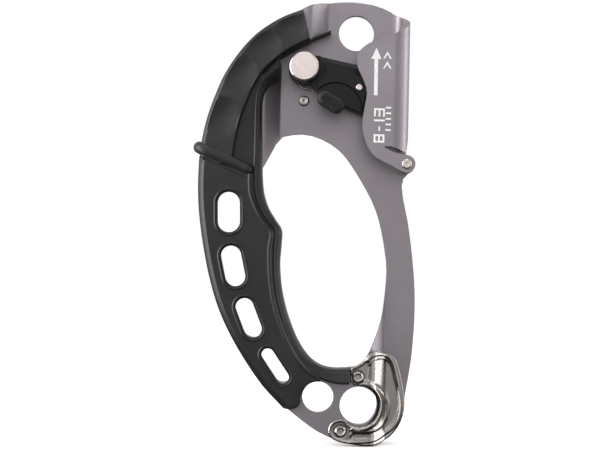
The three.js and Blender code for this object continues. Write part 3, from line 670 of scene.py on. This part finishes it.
def upper_grip(material):
    stations = resample_pairs(UPPER_OUTER, UPPER_RIDGE, 200)
    sections = []
    for a, b in stations:
        half = []
        for share, height in UPPER_RIM:
            half.append((a + (b - a) * share, height))
        for share in UPPER_FACE:
            p = a + (b - a) * share
            half.append((p, upper_grip_height(p, share)))
        for share, height in UPPER_RIDGE_SIDE:
            half.append((a + (b - a) * share, height))
        front = [(p[0], -h, p[1]) for p, h in half]
        back = [(p[0], h, p[1]) for p, h in half[::-1][1:-1]]
        sections.append(front + back)
    end = np.array(sections[-1])
    centre = end.mean(0)
    along = centre - np.array(sections[-2]).mean(0)
    for step, shrink in ((0.35, 0.985), (0.7, 0.95)):
        sections.append(centre + (end - centre) * shrink + along * step)
    vertices, faces = lofted(sections)
    add_piece("upper_grip_body", vertices, faces, "root", material, 32, ["upper_grip"])
    ridge = np.array([b for a, b in resample_pairs(UPPER_OUTER, UPPER_RIDGE, 200)[:150:4]])
    web = np.vstack([
        ridge, [(-51.0, 4.4), (-51.0, -1.5)], np.array(spline(BAR_LEFT[1:7], 2.0)) + (0.8, -0.4),
    ])
    plate = TwoFaced(6.0)
    middle = web.mean(0)
    plate.band(
        web, middle + (web - middle) * 0.985, [[(0, 0.0), (0, 5.6), (0.5, 5.95), (1, 6.0)]] * len(web),
    )
    vertices, faces = plate.close()
    add_piece("upper_grip_web", vertices, faces, "root", material, 40)
    # Painted shade: a dark strip of the grip's rubber fills the frame's slit and stands in for the shadow
    # seen through it.
    sections = []
    for x, z in spline(SLIT, 1.5):
        low, high = z + 0.06, z + SLIT_GAP - 0.06
        sections.append([(x, -1.2, low), (x, -1.2, high), (x, 10.2, high), (x, 10.2, low)])
    vertices, faces = lofted(sections)
    add_piece("upper_grip_slit_shade_fill", vertices, faces, "root", material, 40)


def grip_ring(material):
    along = RING_INNER - RING_OUTER
    half = RING_HIGH[1] - RING_R

    def at(share, y):
        p = RING_OUTER + along * share
        return (p[0], y, p[1])

    start = [
        at(1.02, -half), at(0.8, -half), at(0.5, -half), at(0.25, -half), at(0.1, -half + 0.25),
    ]
    turn = [at(0.015, -half + 1.5), at(-0.02, -half + 3.4), at(-0.03, 0)]
    path = start + turn + [(x, -y, z) for x, y, z in (start + turn[:-1])[::-1]]
    vertices, faces = swept(spline(path, 1.1), RING_R - 0.12, 24, 2)
    add_piece("grip_ring_bead", vertices, faces, "root", material, 60, ["grip_ring"])
    across = np.array((along[1], -along[0])) / np.linalg.norm(along) * (RING_R + 0.75)
    for side in (-1, 1):
        lip = []
        for share in np.linspace(0.07, 0.93, 30):
            p = RING_OUTER + along * share + across
            lip.append((p[0], side * (GRIP_Y + 0.05), p[1]))
        vertices, faces = swept(lip, 0.42, 12, 2)
        name = "seam_lip_front" if side < 0 else "seam_lip_rear"
        add_piece(name, vertices, faces, "root", material, 60)


# ---------------------------------------------------------------- wear plate
PLATE_BEND = [(-60.0, 0.0), (-5.8, 0.0), (1.2, 8.75), (30.0, 8.75)]
PLATE_BEND_RADIUS = 3.0
PLATE_OFFSETS = (3.55, 2.05)
WEAR_OUTLINE = [
    (-14.5, -146.9), (-14.7, -142.6), (-14.1, -140.9), (-11.8, -139.9), (-9.6, -138.5),
    (-7.5, -136.6), (-5.9, -134.5), (-3.3, -133.5), (0.4, -133.7), (4.4, -134.9), (7.4, -137.5),
    (8.9, -141.4), (11, -149.8), (12, -156.5), (11.9, -161.8), (10.3, -167.6), (7.7, -172),
    (4.8, -175), (1.4, -177), (-2.4, -177.7), (-7.4, -177.8), (-14.6, -177), (-19.5, -176.1),
    (-23.3, -174.1), (-24.6, -170.8), (-22.8, -166.8), (-18.9, -165.3), (-15.9, -166.0),
]
FIELD = [
    (-6.5, -139.9), (-5.2, -139.2), (-3.6, -137.6), (-1.3, -136.8), (1.1, -137.1), (3.4, -138.1),
    (4.9, -139.6), (5.8, -141.8), (6.8, -145.8), (8.4, -151.7), (9.1, -157.2), (9.2, -160.9),
    (8.3, -164.6), (6.9, -167.6), (4.8, -170.2), (1.8, -172.1), (-1.3, -173.3), (-4.1, -174.3),
    (-12.5, -174.8), (-13.4, -173.1), (-12.6, -171.8), (-6.8, -171.6), (-3.0, -171.0),
    (1.0, -169.5), (3.2, -166.6), (4.2, -162.8), (4.5, -159.1), (3.7, -156.2), (2.2, -153.3),
    (0.2, -151.0), (-2.2, -149.1), (-4.6, -148.0), (-6.4, -147.1),
]
CREST = [
    (-6.4, -137.6), (-5.4, -136.2), (-3.8, -135.2), (-1.3, -134.9), (1.1, -135.2), (3.8, -136.4),
    (5.8, -138.8), (6.8, -141.4), (8.1, -146.5), (9.4, -151.7), (10.2, -157.2), (10.3, -160.9),
    (9.6, -164.9), (8.1, -168.3), (6.0, -170.9), (3.0, -173.0), (-0.5, -174.8), (-4.0, -175.6),
    (-13.5, -176.0),
]
FIELD_INNER_SIDE = FIELD[19:]
LIP_RADIUS = 11.15


def bend_offset(x, offset):
    """Height of the lower bend's front at each x, the envelope of circles along its mid-plane."""
    corners = [np.array(c) for c in PLATE_BEND]
    run = [corners[0]]
    for before, corner, after in zip(corners, corners[1:], corners[2:]):
        back = (before - corner) / np.linalg.norm(before - corner)
        on = (after - corner) / np.linalg.norm(after - corner)
        half = math.acos(back @ on) / 2
        reach = PLATE_BEND_RADIUS / math.tan(half)
        centre = corner + (back + on) / np.linalg.norm(back + on) * PLATE_BEND_RADIUS / math.sin(half)
        start, end = corner + back * reach - centre, corner + on * reach - centre
        for t in np.linspace(0, 1, 12):
            p = start * (1 - t) + end * t
            run.append(centre + p / np.linalg.norm(p) * PLATE_BEND_RADIUS)
    run.append(corners[-1])
    run = resample(np.array(run), step=0.012)
    stations = np.arange(x.min() - 0.1, x.max() + 0.1, 0.08)
    reach = offset ** 2 - (stations[:, None] - run[None, :, 0]) ** 2
    height = np.where(reach >= 0, run[None, :, 1] - np.sqrt(np.maximum(reach, 0)), np.inf)
    return np.interp(x, stations, height.min(axis=1))


def wear_inner_edge():
    angles = np.radians(np.linspace(-122, 90, 54))
    away = 9.75 + 0.45 * np.maximum(0, np.cos(angles + math.radians(18))) ** 2
    return np.stack([MAIN_EYE[0][0] + away * np.cos(angles), MAIN_EYE[0][1] + away * np.sin(angles)], 1)


def ridge_of(distance, height, half_width):
    return height * np.exp(-(distance / half_width) ** 2)


def smoothed(loop, rounds):
    """A closed run with its small kinks averaged away."""
    for _ in range(rounds):
        loop = (np.roll(loop, 1, axis=0) + 2 * loop + np.roll(loop, -1, axis=0)) / 4
    return loop


def evened(values, triangles, rounds):
    """Values at the corners of triangles, each drawn towards the mean of its neighbours."""
    t = np.array([tuple(x) for x in triangles])
    pairs = np.vstack([t[:, [0, 1]], t[:, [1, 2]], t[:, [2, 0]]])
    pairs = np.vstack([pairs, pairs[:, ::-1]])
    counts = np.bincount(pairs[:, 0], minlength=len(values))
    for _ in range(rounds):
        total = np.bincount(pairs[:, 0], weights=values[pairs[:, 1]], minlength=len(values))
        values = (values + total / np.maximum(counts, 1)) / 2
    return values


def wear_plate(material):
    """The pressed saddle over the bend: rolled rim, crest, sunk field, raised lip round the eye."""
    outline = np.vstack([spline(WEAR_OUTLINE, 0.5), wear_inner_edge(), [(-13.3, -149.0)]])
    outline = resample(np.vstack([outline, outline[:1]]), step=0.26)[:-1]
    outline = smoothed(outline, 6)
    field, crest = spline(FIELD + FIELD[:1], 0.3), spline(CREST, 0.3)
    border = sideways(spline(FIELD_INNER_SIDE, 0.3), 0.5)
    lip = arc(MAIN_EYE[0], LIP_RADIUS, -104, 76, 2)
    pitch = 0.23
    xs = np.arange(outline[:, 0].min(), outline[:, 0].max(), pitch)
    zs = np.arange(outline[:, 1].min(), outline[:, 1].max(), pitch * 0.87)
    spread = np.array([(x + (k % 2) * pitch / 2, z) for k, z in enumerate(zs) for x in xs])
    spread = spread[inside(spread, outline)]
    spread = spread[distance_to(spread, outline, True) > 0.13]
    points = [Vector(p) for p in np.vstack([outline, spread])]
    n = len(outline)
    edges = [(i, (i + 1) % n) for i in range(n)]
    flat, _, triangles, *_ = delaunay_2d_cdt(points, edges, [], 1, 1e-6)
    flat = np.array([tuple(p) for p in flat])
    to_edge = distance_to(flat, outline, True)
    to_field = distance_to(flat, field, True) * np.where(inside(flat, field), 1, -1)
    to_crest = distance_to(flat, crest)
    to_lip = distance_to(flat, lip)
    to_border = distance_to(flat, border)
    relief = ridge_of(to_edge - 0.6, 0.35, 0.5) - 0.6 * (1 - smooth_step(to_edge / 0.5)) ** 2
    relief += ridge_of(to_crest, 0.62, 0.55)
    relief += ridge_of(to_border, 0.42, 0.45)
    relief += ridge_of(to_lip, 0.85, 1.0)
    relief -= 0.45 * smooth_step((to_field + 0.05) / 0.7)
    relief = evened(relief, triangles, 4)
    for screw in SCREWS:
        away = np.hypot(flat[:, 0] - screw[0], flat[:, 1] - screw[2])
        relief -= 0.25 * (1 - smooth_step((away - 2.9) / 0.5))
    front = bend_offset(flat[:, 0], PLATE_OFFSETS[0]) - relief
    back = bend_offset(flat[:, 0], PLATE_OFFSETS[1])
    vertices = [
        (p[0], y, p[1]) for p, y in zip(flat, front)
    ] + [
        (p[0], y, p[1]) for p, y in zip(flat, back)
    ]
    m = len(flat)
    faces = [tuple(t) for t in triangles] + [tuple(m + i for i in reversed(t)) for t in triangles]
    faces += [(i, (i + 1) % n, m + (i + 1) % n, m + i) for i in range(n)]
    add_piece("wear_plate_saddle", vertices, faces, "root", material, 50, ["wear_plate"])


def screw(node, material):
    """A button screw: rounded head, a ring round a six-sided socket, and its shank."""
    low, high = box_mm(node)
    centre, top = (low + high) / 2, low[1]
    sides = 72
    angles = np.linspace(0, 2 * math.pi, sides, endpoint=False)
    to_flat = (angles + math.pi / 12) % (math.pi / 3) - math.pi / 6
    six_sided = 1 / np.cos(to_flat)
    rings = [
        (0.02, top + 1.3, 0), (1.1, top + 1.3, 1), (1.1, top + 0.5, 1), (1.32, top + 0.36, 1),
        (1.62, top + 0.34, 0), (1.78, top + 0.08, 0), (1.95, top, 0), (2.12, top + 0.1, 0),
        (2.3, top + 0.42, 0), (2.5, top + 0.5, 0), (2.72, top + 0.8, 0), (2.78, top + 1.55, 0),
        (1.5, top + 1.55, 0), (1.5, high[1] - 0.2, 0), (1.3, high[1], 0), (0.02, high[1], 0),
    ]
    vertices = []
    for radius, y, hexed in rings:
        reach = radius * (six_sided if hexed else np.ones(sides))
        vertices += [
            (centre[0] + r * math.cos(a), y, centre[2] + r * math.sin(a)) for r, a in zip(reach, angles)
        ]
    faces = grid_faces(len(rings), sides, True)
    faces += [tuple(range(sides))[::-1], tuple((len(rings) - 1) * sides + c for c in range(sides))]
    add_piece(node + "_head", vertices, faces, "root", material, 35, [node])


# ---------------------------------------------------------------- small pieces
def knurl(u, v, pitch, height):
    """Pyramids of a diamond-cut surface over a plane."""
    a = np.abs(((u + v) / pitch) % 1 - 0.5)
    b = np.abs(((u - v) / pitch) % 1 - 0.5)
    return height * (1 - 2 * np.minimum(a, b) - np.maximum(a, b) * 0.6)


def thumb_pad(material):
    """A moulded pad with a diamond-cut top and ribbed sides, on the safety catch."""
    start, end, radius = np.array((-29.4, -14.9)), np.array((-23.8, -18.1)), 3.35
    front, back = PAD_LOW[1] + 0.45, PAD_HIGH[1]
    centre = (start + end) / 2
    rim = round_slot(start, end, radius, 5)
    rim = resample(np.vstack([rim, rim[:1]]), count=145)[:-1]
    out = rim - centre
    out /= np.linalg.norm(out, axis=1)[:, None]
    ribs = 0.16 * np.abs((np.arange(len(rim)) / 6.0) % 1 - 0.5)[:, None] * 2
    sections = [np.column_stack([rim[:, 0], np.full(len(rim), back), rim[:, 1]])]
    for y, inset, rib in (
        (back - 0.4, 0, 0.3), (back - 0.7, 0, 1), (front + 2.0, 0, 1), (front + 1.1, 0.12, 1),
        (front + 0.5, 0.4, 0.6), (front + 0.12, 0.85, 0.2),
    ):
        p = rim - out * inset + out * ribs * rib
        sections.append(np.column_stack([p[:, 0], np.full(len(p), y), p[:, 1]]))
    top_rim = rim - out * 1.1
    sections.append(np.column_stack([top_rim[:, 0], np.full(len(rim), front), top_rim[:, 1]]))
    n = len(rim)
    vertices = [tuple(v) for section in sections for v in section]
    faces = grid_faces(len(sections), n, True) + [tuple(range(n))[::-1]]
    pitch = 0.16
    xs = np.arange(top_rim[:, 0].min(), top_rim[:, 0].max(), pitch)
    zs = np.arange(top_rim[:, 1].min(), top_rim[:, 1].max(), pitch)
    grid = np.array([(x, z) for z in zs for x in xs])
    grid = grid[inside(grid, top_rim)]
    grid = grid[distance_to(grid, top_rim, True) > pitch * 0.6]
    points = [Vector(p) for p in np.vstack([top_rim, grid])]
    flat, _, triangles, *_ = delaunay_2d_cdt(points, [(i, (i + 1) % n) for i in range(n)], [], 1, 1e-6)
    flat = np.array([tuple(p) for p in flat])
    along = (end - start) / np.linalg.norm(end - start)
    u, v = (flat - centre) @ along, (flat - centre) @ np.array((-along[1], along[0]))
    lift = knurl(u, v * 1.25, 1.25, 0.42) * smooth_step(distance_to(flat, top_rim, True) / 0.5)
    first = len(vertices)
    vertices += [(p[0], front - h, p[1]) for p, h in zip(flat, lift)]
    faces += [tuple(first + i for i in t) for t in triangles]
    add_piece("thumb_pad_knurled", vertices, faces, "catch", material, 20, ["thumb_pad"])


def cam_spring(material):
    """Three turns round the axle behind the cam, ending in a hooked leg under the cam's edge."""
    turns, pitch, radius = 3, 1.15, 5.4
    path = []
    for i in range(turns * 24 + 1):
        a = math.radians(190 + 15 * i)
        path.append(
            (AXLE[0] + radius * math.cos(a), 2.6 + pitch * i / 24, AXLE[2] + radius * math.sin(a))
        )
    path += [(-41.8, 6.2, -6.6), (-39.6, 6.2, -8.3), (-36.2, 6.2, -8.9)]
    vertices, faces = swept(spline(path, 0.5), 0.5, 10, 1)
    add_piece("cam_spring_wire", vertices, faces, "cam", material, 60, ["cam_spring"])


def flap_marks(material):
    """Generic printed marks on the flap: an up arrow, bars for the rope and the rope's size in numbers."""
    y = FLAP_Y
    thickness = 0.03

    def print_shape(name, outline):
        n = len(outline)
        vertices = [
            (p[0], y - thickness, p[1]) for p in outline
        ] + [
            (p[0], y + 0.05, p[1]) for p in outline
        ]
        triangles = tessellate_polygon([[Vector((p[0], p[1], 0)) for p in outline]])
        faces = [tuple(t) for t in triangles] + [tuple(n + i for i in reversed(t)) for t in triangles]
        faces += [(i, (i + 1) % n, n + (i + 1) % n, n + i) for i in range(n)]
        add_piece(name, vertices, faces, "root", material, 30)

    arrow = [
        (-5.75, 9.2), (-8.1, 4.0), (-6.6, 4.0), (-6.6, -12.9), (-4.9, -12.9), (-4.9, 4.0),
        (-3.4, 4.0),
    ]
    print_shape("mark_up_arrow", arrow)
    for k, z in enumerate((7.6, 3.0)):
        chevron = [
            (-0.6, z), (-2.6, z - 3.4), (-1.8, z - 3.4), (-0.6, z - 1.4), (0.6, z - 3.4),
            (1.4, z - 3.4),
        ]
        print_shape(f"mark_chevron_{k}", chevron)
    stroke, width, height = 0.85, 3.0, 4.2
    digits = {"8": "abcdefg", "1": "i", "3": "abcdg"}

    def segment(letter, base):
        """One stroke of a number turned to read upwards, its foot at the right."""
        spans = {
            "a": ((0, height), (width, height)), "b": ((width, height / 2), (width, height)),
            "c": ((width, 0), (width, height / 2)), "d": ((0, 0), (width, 0)),
            "e": ((0, 0), (0, height / 2)), "f": ((0, height / 2), (0, height)),
            "g": ((0, height / 2), (width, height / 2)),
            "i": ((width, -stroke), (width, height + stroke)),
        }[letter]
        (u0, v0), (u1, v1) = spans
        half = stroke / 2
        grow = half if letter in "adg" else -half
        x0, x1 = -1.7 - v1 - grow, -1.7 - v0 + grow
        z0, z1 = base + u0 - half, base + u1 + half
        return [(x0, z0), (x1, z0), (x1, z1), (x0, z1)]

    row = {"size_min": ("8", -34.5), "size_max_tens": ("1", -27.6), "size_max_units": ("3", -22.4)}
    for name, (digit, base) in row.items():
        for letter in digits[digit]:
            print_shape(f"mark_{name}_{letter}", segment(letter, base))
    print_shape("mark_dash", [(-4.1, -29.4), (-3.4, -29.4), (-3.4, -27.4), (-4.1, -27.4)])
    for k in range(5):
        z = -29.4 + 2.6 * k
        print_shape(f"mark_bar_{k}", [(-0.9, z), (1.6, z), (1.6, z + 0.8), (-0.9, z + 0.8)])


def stop_pin(material):
    """The pin's rounded end with a small dimple, its collar and its riveted tail."""
    low, high = box_mm("stop_pin")
    top, shoulder = low[1], low[1] + 0.9
    profile = [
        (0.02, top + 0.5), (0.5, top + 0.45), (0.85, top + 0.12), (1.15, top), (1.5, top + 0.06),
        (1.62, top + 0.18), (1.85, top + 0.05), (2.15, top + 0.12), (2.45, top + 0.35),
        (2.58, shoulder - 0.2), (2.58, shoulder), (1.5, shoulder), (1.5, high[1] - 0.8),
        (2.28, high[1] - 0.8), (2.28, high[1] - 0.15), (2.0, high[1]), (0.02, high[1]),
    ]
    sides = 48
    vertices, faces = turned((low + high) / 2, profile, sides)
    faces += [tuple(range(sides))[::-1], tuple((len(profile) - 1) * sides + c for c in range(sides))]
    add_piece("stop_pin_end", vertices, faces, "root", material, 40, ["stop_pin"])


# ---------------------------------------------------------------- CAD pieces that stay
WELD_DISTANCE = 0.004    # joins the corners of neighbouring facets, millimetres
FLAT_ANGLE = 0.6         # facets closer than this are one face, degrees
BEVEL_SEGMENTS = 2
BEVEL_ANGLE = 28         # edges sharper than this are eased, degrees


def finish_cad(name, material, bevel=0.25, gathered=0.02):
    """A carried-over CAD piece, joined up, eased and smoothed; its own mesh stays as it is."""
    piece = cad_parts[name]
    piece.data.materials.clear()
    piece.data.materials.append(material)
    piece.data.polygons.foreach_set("use_smooth", [True] * len(piece.data.polygons))
    weld = piece.modifiers.new("weld", "WELD")
    weld.merge_threshold = WELD_DISTANCE * MM
    dissolve = piece.modifiers.new("flatten", "DECIMATE")
    dissolve.decimate_type = "DISSOLVE"
    dissolve.angle_limit = math.radians(FLAT_ANGLE)
    gather = piece.modifiers.new("gather", "WELD")
    gather.merge_threshold = gathered * MM
    ease = piece.modifiers.new("ease", "BEVEL")
    ease.width = bevel * MM
    ease.segments = BEVEL_SEGMENTS
    ease.limit_method = "ANGLE"
    ease.angle_limit = math.radians(BEVEL_ANGLE)
    ease.harden_normals = False
    weigh = piece.modifiers.new("weigh", "WEIGHTED_NORMAL")
    weigh.keep_sharp = True
    return piece


def build():
    aluminium = anodised_aluminium()
    moulding = moulded(
        "grip_moulding", (0.008, 0.0085, 0.0085), (0.012, 0.0125, 0.0125), 0.38, 2200, 0.22,
    )
    rubber = moulded(
        "grip_rubber", (0.010, 0.0105, 0.0105), (0.015, 0.0155, 0.0155), 0.42, 1800, 0.25,
    )
    stainless = bright_steel("pressed_stainless", (0.32, 0.297, 0.28), 0.26, strength=0.01)
    fastener = bright_steel("fastener_steel", (0.38, 0.355, 0.34), 0.26, strength=0.01)
    black = moulded(
        "black_coating", (0.004, 0.004, 0.0045), (0.007, 0.007, 0.0075), 0.34, 3000, 0.15, 0.18,
    )
    pad = moulded("pad_moulding", (0.008, 0.008, 0.008), (0.013, 0.013, 0.013), 0.55, 2500, 0.3)
    spring = bright_steel("spring_wire", (0.70, 0.66, 0.62), 0.25)
    bronze = bright_steel("bush_bronze", (0.55, 0.38, 0.18), 0.35)
    finish_cad("frame", aluminium, 0.36, 0.24)
    stop_pin(turned_steel("turned_stop_pin", (0.86, 0.79, 0.76), 0.30, np.mean(box_mm("stop_pin"), 0)))
    for name in ("cam_axle", "roller_axle", "roller", "catch_pin"):
        low, high = box_mm(name)
        steel = turned_steel(f"turned_{name}", (0.52, 0.460, 0.444), 0.30, (low + high) / 2)
        finish_cad(name, steel, 0.15)
    for name in ("wear_plate_screw_upper", "wear_plate_screw_lower"):
        screw(name, fastener)
    for name in (
        "wear_plate_nut_upper", "wear_plate_nut_lower", "cam_axle_washer",
        "roller_washer_front", "roller_washer_rear",
    ):
        finish_cad(name, fastener, 0.12)
    finish_cad("cam", black, 0.2)
    finish_cad("safety_catch", black, 0.25)
    finish_cad("cam_bush", bronze, 0.1)
    finish_cad("catch_spring", spring, 0.02)
    lower_grip(moulding)
    inner_bar(moulding)
    upper_grip(rubber)
    grip_ring(rubber)
    wear_plate(stainless)
    thumb_pad(pad)
    cam_spring(spring)
    flap_marks(printed_white())


add_stage()
build()
